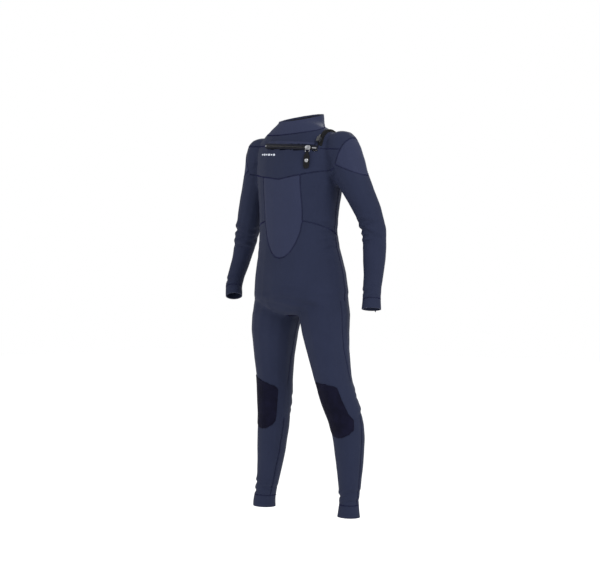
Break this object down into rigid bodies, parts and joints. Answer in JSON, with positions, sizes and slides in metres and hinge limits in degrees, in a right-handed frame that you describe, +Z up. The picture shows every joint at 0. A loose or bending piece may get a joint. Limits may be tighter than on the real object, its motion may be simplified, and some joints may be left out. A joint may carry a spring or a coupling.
{
  "type": "full wetsuit",
  "caption": "Full-length long-sleeved wetsuit with a sloping chest zip, pull tab, shoulder drawcord, knee pads and flexing elbows and knees.",
  "frame": {"origin": "centre of the neck opening, on the collar's rim", "axes": "+Z up, the front of the suit faces -Y, the wearer's left is +X"},
  "size_m": [0.5647, 0.2162, 1.2003],
  "materials": {
    "neoprene": "matte knitted nylon",
    "panel": "matte knitted nylon, slightly lighter",
    "pad": "matte printed pad",
    "trim": "black webbing",
    "lining": "smooth knit",
    "mark": "printed",
    "label": "woven satin",
    "zip_teeth": "moulded nylon",
    "plastic": "moulded",
    "metal": "satin"
  },
  "bodies": {
    "suit": {"back_panel": "neoprene", "back_yoke": "neoprene", "belly_panel": "panel", "care_label": "label", "chest_mark": "mark", "chest_panel": "neoprene", "collar": "panel", "cord_lock_body": "plastic", "crotch_gusset": "pad", "drawcord": "trim", "hang_loop": "trim", "hip_front_panel": "neoprene", "inner_bib": "lining", "inner_neck_seal": "lining", "left_shoulder_cap": "panel", "left_side_panel": "neoprene", "left_thigh_back": "neoprene", "left_thigh_front": "neoprene", "left_upper_sleeve": "neoprene", "right_shoulder_cap": "panel", "right_side_panel": "neoprene", "right_thigh_back": "neoprene", "right_thigh_front": "neoprene", "right_upper_sleeve": "neoprene", "seat_panel": "neoprene", "shoulder_binding": "trim", "snap_stud": "metal", "upper_chest_panel": "neoprene", "zip_coil": "zip_teeth", "zip_end_box": "metal", "zip_stop": "metal", "zip_tape_lower": "trim", "zip_tape_upper": "trim", "zip_welt": "panel"},
    "left_forearm": {"left_elbow_panel": "neoprene", "left_forearm_sleeve": "neoprene", "left_wrist_cuff": "neoprene"},
    "right_forearm": {"right_elbow_panel": "neoprene", "right_forearm_sleeve": "neoprene", "right_wrist_cuff": "neoprene"},
    "left_shin": {"left_knee_sleeve": "neoprene", "left_knee_pad": "pad", "left_shin_panel": "neoprene", "left_calf_panel": "neoprene", "left_ankle_cuff": "neoprene"},
    "right_shin": {"right_knee_sleeve": "neoprene", "right_knee_pad": "pad", "right_shin_panel": "neoprene", "right_calf_panel": "neoprene", "right_ankle_cuff": "neoprene"},
    "zip_slider": {"zip_slider": "metal"},
    "zip_pull": {"zip_pull_ring": "metal"},
    "pull_tab": {"snap_tab": "trim", "snap_cap": "metal"},
    "lock_button": {"cord_lock_button": "plastic"}
  },
  "joints": [
    {"name": "left_elbow_bend", "type": "hinge", "parent": "suit", "child": "left_forearm", "pos_m": [0.239, 0.035, -0.351], "axis": [-1, 0, 0], "range_deg": [0, 80], "stiffness_Nm_per_rad": 1.5, "deforming": ["left_elbow_panel"]},
    {"name": "right_elbow_bend", "type": "hinge", "parent": "suit", "child": "right_forearm", "pos_m": [-0.231, 0.002, -0.353], "axis": [-1, 0, 0], "range_deg": [0, 80], "stiffness_Nm_per_rad": 1.5, "deforming": ["right_elbow_panel"]},
    {"name": "left_knee_bend", "type": "hinge", "parent": "suit", "child": "left_shin", "pos_m": [0.168, -0.031, -0.848], "axis": [1, 0, 0], "range_deg": [0, 70], "stiffness_Nm_per_rad": 2.5, "deforming": ["left_knee_sleeve", "left_knee_pad"]},
    {"name": "right_knee_bend", "type": "hinge", "parent": "suit", "child": "right_shin", "pos_m": [-0.121, 0.01, -0.85], "axis": [1, 0, 0], "range_deg": [0, 70], "stiffness_Nm_per_rad": 2.5, "deforming": ["right_knee_sleeve", "right_knee_pad"]},
    {"name": "zip_slide", "type": "hinge", "parent": "suit", "child": "zip_slider", "pos_m": [-0.0016, 0.109, -0.0944], "axis": [0.0889, 0, 0.996], "range_deg": [-38, 0]},
    {"name": "pull_ring_swing", "type": "hinge", "parent": "zip_slider", "child": "zip_pull", "pos_m": [0.09363, -0.09165, -0.1039], "axis": [-0.899, -0.4305, 0.0802], "range_deg": [0, 90]},
    {"name": "pull_tab_swing", "type": "hinge", "parent": "zip_pull", "child": "pull_tab", "pos_m": [0.09257, -0.09165, -0.11586], "axis": [-0.899, -0.4305, 0.0802], "range_deg": [0, 60]},
    {"name": "lock_button_press", "type": "slide", "parent": "suit", "child": "lock_button", "axis": [0, -0.4695, -0.8829], "range_m": [0, 0.0025], "stiffness_N_per_m": 200}
  ]
}
